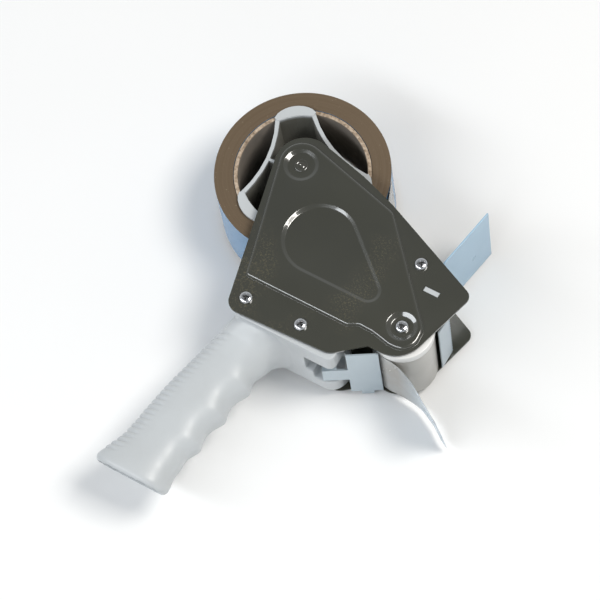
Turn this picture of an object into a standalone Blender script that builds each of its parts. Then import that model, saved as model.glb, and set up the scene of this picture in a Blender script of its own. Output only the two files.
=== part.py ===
"""Pistol-grip tape gun for sealing cartons, lying on its far side.

Sketches are drawn in millimetres in the gun's own plane. The hub axle is at (0, 0), +X runs along the body arm
towards the roller, and +Y runs from the arm towards the tape roll. Heights are millimetres above the plane
that the gun lies on. MM turns all of them into metres.
"""

import math

import bmesh
import bpy
from mathutils import Matrix, Vector
from mathutils.geometry import delaunay_2d_cdt

MM = 0.001

# Driving dimensions
HUB_X = -47.64              # hub axle, seen from the middle of the whole gun's outline
HUB_Y = 78.2
SHEET = 1.2                 # thickness of the stamped side plates
PLATE_SPAN = 59.0           # over the outer faces of both plates
HEAD_HEIGHT = 2.4           # pan heads, which the gun lies on
SEAT = 0.1                  # under each screw head
FAR_FACE = HEAD_HEIGHT + SEAT
NEAR_FACE = FAR_FACE + PLATE_SPAN
EMBOSS = 2.0                # how far the middle of the near plate is raised
GAP = 0.3                   # between pieces that touch on the real gun
RUNNING = 0.1               # radial clearance of a shaft in its bore

CORE_BORE_R = 38.1          # 3 inch core
CORE_R = 40.5
ROLL_R = 52.0
TAPE_WIDTH = 48.0
TAPE_DEPTH = 8.5            # near edge of the roll, below the near plate's outer face
FULL_ROLL_R = 74.0          # room for the largest roll
STRIP = 0.3                 # thickness of the loose tape

HUB = (0.0, 0.0)
ROLLER = (101.8, -61.2)
ROLLER_R = 18.0
ROLLER_RIM_R = 18.5
AXLE_R = 4.0
SPACER_R = 3.2
REAR_SCREW = (14.0, -87.5)
GRIP_SCREW = (50.0, -87.2)
FRONT_SCREW = (92.3, -22.1)
SLOT = (105.8, -34.1)
SLOT_SIZE = (9.8, 3.4)
SHANK_R = 1.6
SCREW_HOLE_R = 1.95
HEAD_R = 3.75
SMALL_SHANK_R = 1.0         # bracket screws and wiper rivets
SMALL_HEAD_R = 2.0
SMALL_HOLE_R = 1.3

LOBE_ANGLES = (6.5, 126.5, 246.5)
LOBE_HALF = 18.5            # degrees of the core that each hub lobe fills, either side of its middle
LOBE_R = 37.7
WAIST_R = 23.3              # hub radius between two lobes
HUB_WALL = 2.2
HUB_FLOOR_DEPTH = 44.0

ARM_BOTTOM = -98.5
ARM_TOP = -77.0
ARM_BACK = 6.5
ARM_FRONT = 76.5
FAR_ROUNDING = 8.5          # radius of the arm's lower far edge
GRIP_DEPTH = 29.5           # middle of the handle, below the near plate's outer face
BRAKE_PIVOT = (69.7, -92.0)
FLAP_ANGLE = 30.8           # slope of the brake flap
FLAP_ORIGIN = (68.4, -98.6)
WIPER_ROOT = (100.5, -29.0)
WIPER_TIP = (109.9, 24.8)
WIPER_SHEET = 1.0
WIPER_PLAY = 0.5            # on each side of the flap at its root, so that it can flex
BRACKET_TOP = -37.6
BRACKET_SHEET = 1.4
BRACKET_SCREW_X = 106.5
BLADE_X = 120.0             # back face of the blade
BLADE_SHEET = 0.8

FINE = 7.5                  # degrees for each facet of a large arc
COARSE = 15.0


def depth(below):
    """Height of a point that lies this far below the near plate's outer face."""
    return NEAR_FACE - below


# Outlines

def polar(centre, radius, degrees):
    angle = math.radians(degrees)
    return (centre[0] + radius * math.cos(angle), centre[1] + radius * math.sin(angle))


def arc(centre, radius, start, end, step=COARSE):
    """Points from start to end degrees, both included."""
    count = max(1, round(abs(end - start) / step))
    return [polar(centre, radius, start + (end - start) * i / count) for i in range(count + 1)]


def circle(centre, radius, sides=32):
    return [polar(centre, radius, 360 * i / sides) for i in range(sides)]


def rectangle(centre, size):
    x, y = centre
    w, h = size[0] / 2, size[1] / 2
    return [(x - w, y - h), (x + w, y - h), (x + w, y + h), (x - w, y + h)]


def rounded(corners, step=COARSE):
    """Outline through (x, y, radius) corners, each filleted with its own radius."""
    points = []
    for i, (x, y, radius) in enumerate(corners):
        here = Vector((x, y))
        before = (Vector(corners[i - 1][:2]) - here).normalized()
        after = (Vector(corners[(i + 1) % len(corners)][:2]) - here).normalized()
        if radius == 0:
            points.append((x, y))
            continue
        half = before.angle(after) / 2
        centre = here + (before + after).normalized() * (radius / math.sin(half))
        first = here + before * (radius / math.tan(half)) - centre
        last = here + after * (radius / math.tan(half)) - centre
        start = math.degrees(math.atan2(first.y, first.x))
        turn = (math.degrees(math.atan2(last.y, last.x)) - start + 180) % 360 - 180
        points += arc(centre, radius, start, start + turn, step)
    return points


def inset(points, distance):
    """The outline moved inwards by a distance that is small beside its radii. It runs anticlockwise."""
    moved = []
    for i, point in enumerate(points):
        here = Vector(point)
        ahead = (Vector(points[(i + 1) % len(points)]) - here).normalized()
        back = (here - Vector(points[i - 1])).normalized()
        normal = (Vector((-ahead.y, ahead.x)) + Vector((-back.y, back.x))).normalized()
        spread = max(0.5, normal.dot(Vector((-ahead.y, ahead.x))))
        moved.append(tuple(here + normal * (distance / spread)))
    return moved


def inside(point, outline):
    x, y = point
    odd = False
    for i, (x1, y1) in enumerate(outline):
        x0, y0 = outline[i - 1]
        if (y0 > y) != (y1 > y) and x < (x1 - x0) * (y - y0) / (y1 - y0) + x0:
            odd = not odd
    return odd


# Meshes, in millimetres

def stamped(outline, bands, holes, thickness):
    """Sheet whose top passes through loops at their own heights: the outline, pressed bands, then holes."""
    loops = [outline] + bands + holes
    points, heights, edges = [], [], []
    for loop, height in loops:
        first = len(points)
        points += [Vector(p) for p in loop]
        heights += [height] * len(loop)
        edges += [(first + i, first + (i + 1) % len(loop)) for i in range(len(loop))]
    flat, _, faces, origins, _, _ = delaunay_2d_cdt(points, edges, [], 1, 1e-6)
    bm = bmesh.new()
    level = [heights[o[0]] for o in origins]
    top = [bm.verts.new((p.x, p.y, z)) for p, z in zip(flat, level)]
    bottom = [bm.verts.new((p.x, p.y, z - thickness)) for p, z in zip(flat, level)]
    rim = {}
    for face in faces:
        middle = sum((flat[i] for i in face), Vector((0, 0))) / len(face)
        if not inside(middle, outline[0]) or any(inside(middle, loop) for loop, _ in holes):
            continue
        bm.faces.new([top[i] for i in face])
        bm.faces.new([bottom[i] for i in reversed(face)])
        for i, a in enumerate(face):
            b = face[(i + 1) % len(face)]
            if (b, a) in rim:
                del rim[(b, a)]
            else:
                rim[(a, b)] = True
    for a, b in rim:
        bm.faces.new([top[b], top[a], bottom[a], bottom[b]])
    loose = [v for v in bm.verts if not v.link_faces]
    bmesh.ops.delete(bm, geom=loose, context="VERTS")
    return bm


def plate(outline, low, high, holes=()):
    """Flat plate between two heights."""
    return stamped((outline, high), [], [(hole, high) for hole in holes], high - low)


def turned(profile, sides=32):
    """Closed (radius, height) profile turned about the Z axis."""
    bm = bmesh.new()
    rings = []
    for radius, height in profile:
        if radius == 0:
            rings.append([bm.verts.new((0, 0, height))] * sides)
        else:
            rings.append([bm.verts.new((*polar(HUB, radius, 360 * i / sides), height)) for i in range(sides)])
    for ring, following in zip(rings, rings[1:] + rings[:1]):
        for i in range(sides):
            j = (i + 1) % sides
            corners = []
            for vert in (ring[i], ring[j], following[j], following[i]):
                if vert not in corners:
                    corners.append(vert)
            if len(corners) > 2:
                bm.faces.new(corners)
    bmesh.ops.recalc_face_normals(bm, faces=bm.faces)
    return bm


def lofted(sections):
    """Closed body through rings of 3-D points, with flat ends."""
    bm = bmesh.new()
    rings = [[bm.verts.new(p) for p in ring] for ring in sections]
    for ring, following in zip(rings, rings[1:]):
        for i in range(len(ring)):
            j = (i + 1) % len(ring)
            bm.faces.new([ring[i], ring[j], following[j], following[i]])
    bm.faces.new(rings[0])
    bm.faces.new(rings[-1])
    bmesh.ops.recalc_face_normals(bm, faces=bm.faces)
    return bm


def coil(radius, wire, start, end, turns, steps=12, sides=5):
    """Round-wire helix about the Z axis."""
    sections = []
    for i in range(turns * steps + 1):
        angle = 2 * math.pi * i / steps
        height = start + (end - start) * i / (turns * steps)
        outward = Vector((math.cos(angle), math.sin(angle), 0))
        middle = outward * radius + Vector((0, 0, height))
        ring = []
        for k in range(sides):
            turn = 2 * math.pi * k / sides
            ring.append(middle + outward * wire * math.cos(turn) + Vector((0, 0, wire * math.sin(turn))))
        sections.append(ring)
    return lofted(sections)


def moved(bm, to, axis=(0, 0, 1)):
    """Moves a mesh made on the Z axis to a place, with its own up direction turned to the axis given."""
    turn = Vector((0, 0, 1)).rotation_difference(Vector(axis)).to_matrix()
    bmesh.ops.rotate(bm, cent=(0, 0, 0), matrix=turn, verts=bm.verts)
    bmesh.ops.translate(bm, vec=to, verts=bm.verts)
    return bm


# Scene

def clear_scene():
    for obj in list(bpy.data.objects):
        bpy.data.objects.remove(obj)


def material(name, colour, roughness, metallic=0.0):
    made = bpy.data.materials.new(name)
    made.use_nodes = True
    shader = made.node_tree.nodes["Principled BSDF"]
    shader.inputs["Base Color"].default_value = (*colour, 1)
    shader.inputs["Roughness"].default_value = roughness
    shader.inputs["Metallic"].default_value = metallic
    return made


def piece(name, bm, look, axis=HUB, smooth=35):
    """Object from a mesh in millimetres. Its origin is on the vertical axis through the point given."""
    bmesh.ops.translate(bm, vec=(-axis[0], -axis[1], 0), verts=bm.verts)
    bmesh.ops.scale(bm, vec=(MM, MM, MM), verts=bm.verts)
    mesh = bpy.data.meshes.new(name)
    bm.to_mesh(mesh)
    bm.free()
    mesh.shade_smooth()
    mesh.set_sharp_from_angle(angle=math.radians(smooth))
    mesh.materials.append(look)
    obj = bpy.data.objects.new(name, mesh)
    bpy.context.scene.collection.objects.link(obj)
    obj.location = (axis[0] * MM, axis[1] * MM, 0)
    obj.parent = GUN
    return obj


def combine(obj, bm, name, operation="DIFFERENCE", solver="EXACT"):
    """Boolean on a piece, with a helper that isn't part of the gun."""
    helper = piece(name, bm, obj.data.materials[0])
    helper.hide_render = True
    helper.display_type = "WIRE"
    boolean = obj.modifiers.new(name, "BOOLEAN")
    boolean.operation = operation
    boolean.solver = solver
    boolean.object = helper
    return helper


# Side plates

def nose_corners(front):
    """Corners of both plates: the notch, round the roller, and the front corner."""
    return [(90.2, -80.4, 2.0), (112.4, -80.8, 19.0), (front, -26.0, 5.5)]


def near_outline():
    return rounded([(6.5, -98.0, 8.0), (72.9, -95.0, 10.0)] + nose_corners(127.9)
                   + [(60.0, 2.9, 25.0), (36.5, 10.9, 40.0), (-22.7, 25.1, 17.5)], step=FINE)


def raised_outline():
    """Foot of the step round the raised middle of the near plate."""
    return rounded([(6.3, -75.7, 3.0), (73.5, -75.7, 4.0), (79.5, -72.3, 5.0), (88.5, -72.6, 6.0),
                    (101.0, -75.2, 12.0), (115.3, -74.0, 11.0), (114.2, -57.0, 8.0), (62.5, -1.0, 8.0),
                    (-19.6, 20.2, 13.5)], step=12)


def teardrop(grow=0.0):
    """Hull of the large and small circles of the pressed teardrop."""
    large, small = (33.5, -36.0), (74.0, -51.0)
    large_r, small_r = 22.8 + grow, 7.8 + grow
    run = math.degrees(math.atan2(small[1] - large[1], small[0] - large[0]))
    lean = math.degrees(math.acos((large_r - small_r) / math.dist(large, small)))
    return (arc(small, small_r, run - lean, run + lean, 12) + arc(large, large_r, run + lean, run + 360 - lean, 10))


def screw_holes():
    return [circle(at, SCREW_HOLE_R, 12) for at in (REAR_SCREW, GRIP_SCREW, ROLLER, FRONT_SCREW)]


def make_near_plate(look):
    foot = raised_outline()
    flange, crown = NEAR_FACE, NEAR_FACE + EMBOSS
    bands = [(foot, flange), (inset(foot, 1.6), crown),
             (teardrop(), crown), (teardrop(-1.6), crown - 1.3),
             (circle(HUB, 10.6, 28), crown), (circle(HUB, 8.8, 28), crown - 1.4),
             (circle(ROLLER, 9.4, 28), crown), (circle(ROLLER, 7.6, 28), crown - 1.8)]
    screws = screw_holes()
    holes = [(screws[0], flange), (screws[1], flange), (screws[2], crown - 1.8), (screws[3], flange),
             (rectangle(SLOT, SLOT_SIZE), flange), (circle(HUB, AXLE_R, 20), crown - 1.4)]
    piece("near_side_plate", stamped((near_outline(), flange), bands, holes, SHEET), look)


def far_outline():
    """Short plate, cut away along the largest roll so that a new roll slides on from this side."""
    cut = [(x, y, 0) for x, y in arc(HUB, FULL_ROLL_R, -14, -84, FINE)]
    return rounded([(6.0, -94.0, 7.0), (73.6, -94.0, 10.0)] + nose_corners(126.4) + [(86.0, -8.1, 6.0)] + cut)


def far_raised_outline():
    cut = [(x, y, 0) for x, y in arc(HUB, FULL_ROLL_R + 6, -29, -64, FINE)]
    return rounded([(36.5, -79.3, 2.0), (76.0, -79.3, 4.0), (82.0, -76.0, 5.0), (101.0, -76.2, 12.0),
                    (115.0, -74.0, 10.0), (116.0, -52.0, 6.0), (86.0, -33.0, 3.0)] + cut, step=20)


def make_far_plate(look):
    """Stamped towards the outside, so it is drawn upside down and turned over."""
    foot = far_raised_outline()
    outer = -FAR_FACE
    bands = [(foot, outer), (inset(foot, 1.6), outer + 1.5),
             (circle(ROLLER, 9.4, 28), outer + 1.5), (circle(ROLLER, 7.8, 28), outer)]
    holes = [(loop, outer) for loop in screw_holes() + [rectangle(SLOT, SLOT_SIZE)]]
    bm = stamped((far_outline(), outer), bands, holes, SHEET)
    bmesh.ops.scale(bm, vec=(1, 1, -1), verts=bm.verts)
    bmesh.ops.reverse_faces(bm, faces=bm.faces)
    piece("far_side_plate", bm, look)


# Handle

BACK_LINE = [(-90.0, 8.5), (-97.0, 7.0), (-104.0, 5.1), (-122.0, -0.1), (-145.4, -6.2), (-162.5, -9.4),
             (-184.7, -13.0), (-194.0, -16.6), (-204.0, -20.4)]
FRONT_LINE = [(-90.0, 52.0), (-97.0, 48.5), (-104.0, 40.6), (-116.0, 37.0), (-145.4, 32.3), (-182.5, 26.2),
              (-194.0, 24.9), (-204.0, 26.0)]
GRIP_THICKNESS = [(-90.0, 27.5), (-98.0, 25.5), (-108.0, 20.0), (-122.0, 16.0), (-140.0, 14.3), (-185.0, 13.8),
                  (-204.0, 14.6)]
FINGER_PITCH = 21.8
FINGER_TOP = -128.0
FINGER_HEIGHT = 1.3
GRIP_END = -209.0
END_SLANT = 0.19            # the far side of the open end is shorter than the near side
GRIP_WALL = 2.6


def smooth_value(line, at):
    """Reads a smooth curve through (position, value) points, in falling order of position."""
    at = min(max(at, line[-1][0]), line[0][0])
    k = next(i for i in range(len(line) - 1) if at >= line[i + 1][0])
    (p0, v0), (p1, v1) = line[k], line[k + 1]
    before = line[k - 1] if k > 0 else line[k]
    beyond = line[k + 2] if k + 2 < len(line) else line[k + 1]
    span = p1 - p0
    s0 = (v1 - before[1]) / (p1 - before[0]) * span
    s1 = (beyond[1] - v0) / (beyond[0] - p0) * span
    t = (at - p0) / span
    return ((2 * t ** 3 - 3 * t ** 2 + 1) * v0 + (t ** 3 - 2 * t ** 2 + t) * s0
            + (3 * t ** 2 - 2 * t ** 3) * v1 + (t ** 3 - t ** 2) * s1)


def finger_wave(y):
    """Swell between the fingers: three rises down the front of the grip."""
    reach = min(1.0, max(0.0, (-110.0 - y) / 10), max(0.0, (y + 188.0) / 10))
    return FINGER_HEIGHT * reach * math.cos(2 * math.pi * (y - FINGER_TOP) / FINGER_PITCH)


def grip_ring(y, wall=0.0, sides=24):
    """Superellipse section of the grip. The last stretch leans with the slanted end."""
    back = smooth_value(BACK_LINE, y) + wall
    front = smooth_value(FRONT_LINE, y) + finger_wave(y) - wall
    half_x, half_z = (front - back) / 2, smooth_value(GRIP_THICKNESS, y) - wall
    lean = END_SLANT * min(1.0, max(0.0, (-185.0 - y) / 20))
    ring = []
    for i in range(sides):
        c, s = math.cos(2 * math.pi * i / sides), math.sin(2 * math.pi * i / sides)
        x = math.copysign(abs(c) ** 0.8, c) * half_x
        z = math.copysign(abs(s) ** 0.8, s) * half_z
        ring.append(((back + front) / 2 + x, y + lean * (half_z - z), depth(GRIP_DEPTH) + z))
    return ring


def shrunk_ring(ring, amount, drop):
    """The end of the grip, pulled in by its edge rounding."""
    middle = sum((Vector(p) for p in ring), Vector()) / len(ring)
    out = []
    for p in ring:
        towards = middle - Vector(p)
        towards.y = 0
        out.append(Vector(p) + towards.normalized() * amount + Vector((0, -drop, 0)))
    return out


def grip_body():
    stations = [-90, -97, -101, -105, -110] + [-116 - 5.5 * i for i in range(13)] + [-188, -194, -200, -205]
    rings = [grip_ring(y) for y in stations]
    last = rings[-1]
    rings += [shrunk_ring(last, 0.9, 2.2), shrunk_ring(last, 2.2, 3.4)]
    return lofted(rings)


def grip_hollow():
    stations = [-92, -98, -104, -110, -120, -132, -145, -158, -170, -182, -194, -204]
    rings = [grip_ring(y, GRIP_WALL, 16) for y in stations]
    rings.append([Vector(p) + Vector((0, -12, 0)) for p in rings[-1]])
    return lofted(rings)


def arm_ring(level, lift, corner):
    """Section of the arm at one height, with its lower side raised by lift."""
    bottom = ARM_BOTTOM + lift
    heel = ARM_BACK + 0.16 * (ARM_TOP - bottom)
    outline = rounded([(ARM_BACK, ARM_TOP, 3.0), (heel, bottom, 8.0 - lift * 0.6), (ARM_FRONT, bottom, corner),
                       (ARM_FRONT, ARM_TOP, 3.0)])
    return [(x, y, level) for x, y in outline]


def arm_body():
    """The arm's lower side rounds over towards the far plate."""
    low, high = FAR_FACE + SHEET + GAP, NEAR_FACE - SHEET - GAP
    rings = []
    for degrees in (0, 22.5, 45, 67.5, 90):
        c, s = math.cos(math.radians(degrees)), math.sin(math.radians(degrees))
        rings.append(arm_ring(low + FAR_ROUNDING * (1 - c), FAR_ROUNDING * (1 - s), 9.0))
    rings += [arm_ring(depth(24), 0, 9.0), arm_ring(depth(16), 0, 4.5), arm_ring(high, 0, 4.5)]
    return lofted(rings)


def box(low, high):
    bm = bmesh.new()
    bmesh.ops.create_cube(bm, size=1)
    size = Vector(high) - Vector(low)
    bmesh.ops.scale(bm, vec=size, verts=bm.verts)
    bmesh.ops.translate(bm, vec=(Vector(high) + Vector(low)) / 2, verts=bm.verts)
    return bm


def rod(radius, low, high, sides=12):
    return turned([(0, low), (radius, low), (radius, high), (0, high)], sides)


def make_handle(look):
    """Arm between the plates and hollow grip, moulded in one piece."""
    handle = piece("handle", arm_body(), look, smooth=40)
    for place, at in (("rear", REAR_SCREW), ("grip", GRIP_SCREW)):
        combine(handle, moved(rod(SCREW_HOLE_R, depth(13), depth(-1)), (*at, 0)), f"cut_near_{place}_bore")
        far_bore = moved(rod(SCREW_HOLE_R, FAR_FACE - 1, FAR_FACE + 13), (*at, 0))
        combine(handle, far_bore, f"cut_far_{place}_bore", solver="MANIFOLD")
    combine(handle, grip_body(), "add_grip", "UNION")
    combine(handle, grip_hollow(), "cut_grip_hollow")
    combine(handle, box((20.5, -94.3, depth(44)), (38, -70, depth(15))), "cut_arm_pocket")
    combine(handle, box((57, -104, depth(32.3)), (90, -85, depth(16))), "cut_brake_notch")
    combine(handle, box((62, -104.5, depth(40)), (90.5, -85.5, depth(30))), "cut_brake_notch_deep")
    combine(handle, moved(rod(1.7, depth(47), depth(9)), (*BRAKE_PIVOT, 0)), "cut_brake_pin")


# Screws

def pan_screw(length):
    """Pan-head screw: head above z = 0, shank below."""
    side = 0.9
    profile = [(0, -length), (0.5, -length), (SHANK_R, -length + 1.2), (SHANK_R, 0), (HEAD_R, 0), (HEAD_R, side)]
    for lift in (35, 65):
        angle = math.radians(lift)
        profile.append((HEAD_R * math.cos(angle) ** 0.7, side + (HEAD_HEIGHT - side) * math.sin(angle)))
    return turned(profile + [(0, HEAD_HEIGHT)], 12)


def small_fastener(length):
    """Small screw or rivet: low head above z = 0, shank below."""
    return turned([(0, -length), (SMALL_SHANK_R, -length), (SMALL_SHANK_R, 0), (SMALL_HEAD_R, 0), (SMALL_HEAD_R, 0.7),
                   (SMALL_HEAD_R * 0.6, 1.3), (0, 1.3)], 12)


def make_side_screws(look):
    places = {"rear": (REAR_SCREW, NEAR_FACE), "grip": (GRIP_SCREW, NEAR_FACE),
              "roller": (ROLLER, NEAR_FACE + EMBOSS - 1.8), "front": (FRONT_SCREW, NEAR_FACE)}
    for name, (at, seat) in places.items():
        piece("near_screw_" + name, moved(pan_screw(11), (*at, seat + SEAT)), look)
        piece("far_screw_" + name, moved(pan_screw(11), (*at, FAR_FACE - SEAT), (0, 0, -1)), look)


# Roller

def spacer(radius):
    """Round bar between the plates, with a blind threaded bore in each end."""
    low, high = FAR_FACE + SHEET + GAP, NEAR_FACE - SHEET - GAP
    hole = SCREW_HOLE_R
    return turned([(hole, low), (radius, low), (radius, high), (hole, high), (hole, high - 13), (0, high - 13.5),
                   (0, low + 13.5), (hole, low + 13)], 24)


def make_roller(drum, steel, nylon):
    piece("roller_axle", moved(spacer(AXLE_R), (*ROLLER, 0)), steel)
    piece("front_spacer", moved(spacer(SPACER_R), (*FRONT_SCREW, 0)), steel)
    near, far = depth(2.2), depth(56.8)
    bush_r, wall, web = 7.0, 2.4, 3.0
    shell = turned([(bush_r + GAP, near), (ROLLER_RIM_R - 0.6, near), (ROLLER_RIM_R, near - 0.6),
                    (ROLLER_RIM_R, depth(7.9)), (ROLLER_R, depth(8.4)), (ROLLER_R, far + 0.6), (ROLLER_R - 0.6, far),
                    (bush_r + GAP, far), (bush_r + GAP, far + web), (ROLLER_R - wall, far + web),
                    (ROLLER_R - wall, near - web), (bush_r + GAP, near - web)], 40)
    piece("roller", moved(shell, (*ROLLER, 0)), drum, ROLLER)
    for name, low, high in (("near", near - web, near), ("far", far, far + web)):
        bush = turned([(AXLE_R + RUNNING, low), (bush_r, low), (bush_r, high), (AXLE_R + RUNNING, high)], 24)
        piece("roller_bush_" + name, moved(bush, (*ROLLER, 0)), nylon, ROLLER)


# Hub and roll

def waist_arc(centre_angle, offset):
    """Inward-curving side of the hub between two lobes, moved inwards by offset, with the ends at the lobes."""
    half = 60 - LOBE_HALF
    chord = LOBE_R * math.sin(math.radians(half))
    rise = LOBE_R * math.cos(math.radians(half)) - WAIST_R
    radius = (chord ** 2 + rise ** 2) / (2 * rise)
    centre = polar(HUB, WAIST_R + radius, centre_angle)
    sweep = math.degrees(math.asin(chord / radius)) * (1 - 0.02 * offset)
    return arc(centre, radius + offset, centre_angle + 180 + sweep, centre_angle + 180 - sweep, 7)


def hub_outline():
    points = []
    for angle in LOBE_ANGLES:
        points += arc(HUB, LOBE_R, angle - LOBE_HALF, angle + LOBE_HALF, FINE)[1:-1]
        points += waist_arc(angle + 60, 0)
    return points


def hub_pocket(angle):
    """Open space inside one lobe, between two ribs, the wall and the boss."""
    rib, boss = 0.8, 8.5
    inner_waist = WAIST_R - HUB_WALL
    left = waist_arc(angle - 60, HUB_WALL)
    right = waist_arc(angle + 60, HUB_WALL)
    middle = len(left) // 2

    def beside_rib(radius, side):
        lean = side * (60 - math.degrees(math.asin(rib / radius)))
        return polar(HUB, radius, angle + lean)

    points = [beside_rib(boss, 1)] + arc(HUB, boss, angle + 45, angle - 45, 22.5)
    points += [beside_rib(boss, -1), beside_rib(inner_waist, -1)] + left[middle + 1:-1]
    points += arc(HUB, LOBE_R - 1.8, angle - LOBE_HALF + 3, angle + LOBE_HALF - 3, FINE)
    return points + right[1:middle] + [beside_rib(inner_waist, 1)]


def hub_lip(angle):
    """Crescent that stops the core, at the near end of one lobe."""
    outer = [polar(HUB, LOBE_R - 0.4 + 5.4 * math.cos(math.radians(90 * t / (LOBE_HALF + 1))) ** 0.5, angle + t)
             for t in [-LOBE_HALF + LOBE_HALF * i / 5 for i in range(11)]]
    return outer + arc(HUB, LOBE_R - 1.5, angle + LOBE_HALF - 1.5, angle - LOBE_HALF + 1.5, FINE)


def make_hub(plastic):
    top, bottom = depth(6.9), depth(54.0)
    floor = depth(HUB_FLOOR_DEPTH)
    hub = piece("tape_hub", plate(hub_outline(), bottom, top), plastic)
    for i, angle in enumerate(LOBE_ANGLES):
        combine(hub, plate(hub_pocket(angle), floor, top + 1), f"cut_hub_pocket_{i + 1}")
        combine(hub, plate(hub_lip(angle), depth(8.2), depth(6.4)), f"add_hub_lip_{i + 1}", "UNION")
    bore = AXLE_R + RUNNING
    combine(hub, rod(bore, depth(60), depth(1), 24), "cut_hub_bore")
    recess_top = floor - 2.5
    recess = inset(hub_outline(), HUB_WALL)
    combine(hub, plate(recess, bottom - 1, recess_top), "cut_hub_recess")
    combine(hub, rod(9.5, top - 2, top + 2, 24), "cut_hub_boss_top")


def make_roll(card, film):
    low, high = depth(TAPE_DEPTH + TAPE_WIDTH), depth(TAPE_DEPTH)
    core = [(CORE_BORE_R, low), (CORE_R, low), (CORE_R, high), (CORE_BORE_R, high)]
    piece("tape_core", turned(core, 60), card)
    roll = [(CORE_R + GAP, low), (ROLL_R, low), (ROLL_R, high), (CORE_R + GAP, high)]
    piece("tape_roll", turned(roll, 60), film)


def make_hub_axle(painted, steel, fibre, knob_look):
    seat = NEAR_FACE + EMBOSS - 1.4
    thread_r = 3.0
    under = seat - SHEET
    stud = [(0, seat + 1.5), (2.2, seat + 1.5), (3.6, seat + 0.9), (3.6, seat + GAP), (AXLE_R - GAP, seat + GAP),
            (AXLE_R - GAP, under - GAP), (7.5, under - GAP), (7.5, under - 2.5), (AXLE_R, under - 2.5),
            (AXLE_R, depth(47.5)), (thread_r, depth(48)), (thread_r, depth(60.2)), (0, depth(60.2))]
    piece("hub_axle", turned(stud, 24), painted)
    face = depth(HUB_FLOOR_DEPTH + 2.5)

    piece("friction_washer", washer(AXLE_R + RUNNING, 10.0, face - 0.9, face - 0.1), fibre)
    piece("tension_spring", coil(6.0, 0.6, face - 1.8, face - 6.2, 3), steel)
    piece("spring_washer", washer(thread_r + RUNNING, 8.0, face - 7.8, face - 7.0), steel)
    piece("tension_knob", knob(thread_r + RUNNING, face - 8.0), knob_look)


def washer(bore, outer, low, high):
    return turned([(bore, low), (outer, low), (outer, high), (bore, high)], 24)


def knob(bore, top):
    """Scalloped thumb nut that the gun rests on."""
    outline = []
    for i in range(8):
        outline += arc(HUB, 11.0, 45 * i, 45 * i + 25, 12.5)
        outline.append(polar(HUB, 9.9, 45 * i + 35))
    return plate(outline, 0.0, top, [circle(HUB, bore, 24)])


# Loose tape

TAIL_NEAR = [(107.2, -80.3), (119.5, -84.6), (129.9, -91.3), (140.5, -98.2)]
TAIL_FAR = [(108.0, -79.7), (121.5, -81.4), (134.0, -87.4), (147.2, -95.6)]


def tape_path(tail):
    """Middle line of the strip: tangent to the roll, round the roller, then free."""
    roll_r, roller_r = ROLL_R + GAP + STRIP / 2, ROLLER_R + GAP + STRIP / 2
    span = math.dist(HUB, ROLLER)
    run = math.degrees(math.atan2(ROLLER[1], ROLLER[0]))
    lean = math.degrees(math.acos((roll_r + roller_r) / span))
    leave = run + lean
    land = leave + 180
    start, stop = Vector(polar(HUB, roll_r, leave)), Vector(polar(ROLLER, roller_r, land))
    straight = [tuple(start.lerp(stop, i / 4)) for i in range(4)]
    return straight + arc(ROLLER, roller_r, land, 270, 9) + tail


def make_strip(film):
    low, high = depth(TAPE_DEPTH + TAPE_WIDTH) + 0.2, depth(TAPE_DEPTH) - 0.2
    near, far = tape_path(TAIL_NEAR), tape_path(TAIL_FAR)

    def sides(path, height):
        rails = ([], [])
        for i, point in enumerate(path):
            ahead = Vector(path[min(i + 1, len(path) - 1)]) - Vector(path[max(i - 1, 0)])
            normal = Vector((-ahead.y, ahead.x)).normalized() * (STRIP / 2)
            for rail, offset in zip(rails, (normal, -normal)):
                rail.append((point[0] + offset.x, point[1] + offset.y, height))
        return rails

    near_up, near_down = sides(near, high)
    far_up, far_down = sides(far, low)
    piece("tape_strip", lofted(list(zip(near_up, near_down, far_down, far_up))), film, smooth=60)


# Front: wiper and blade

def wiper_frame():
    root, tip = Vector(WIPER_ROOT), Vector(WIPER_TIP)
    along = (tip - root).normalized()
    return root, tip, along, Vector((along.y, -along.x))


def ribbon(line, thickness, low, high):
    """Bent sheet: a polyline in the XY plane given a thickness to its right, and a height range."""
    points = [Vector(p) for p in line]
    other = []
    for i, point in enumerate(points):
        back = (point - points[i - 1]).normalized() if i else None
        ahead = (points[i + 1] - point).normalized() if i + 1 < len(points) else None
        back, ahead = back or ahead, ahead or back
        right = Vector((back.y, -back.x)) + Vector((ahead.y, -ahead.x))
        right.normalize()
        other.append(point + right * thickness / right.dot(Vector((ahead.y, -ahead.x))))
    return plate([tuple(p) for p in points[::-1] + other], low, high)


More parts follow.
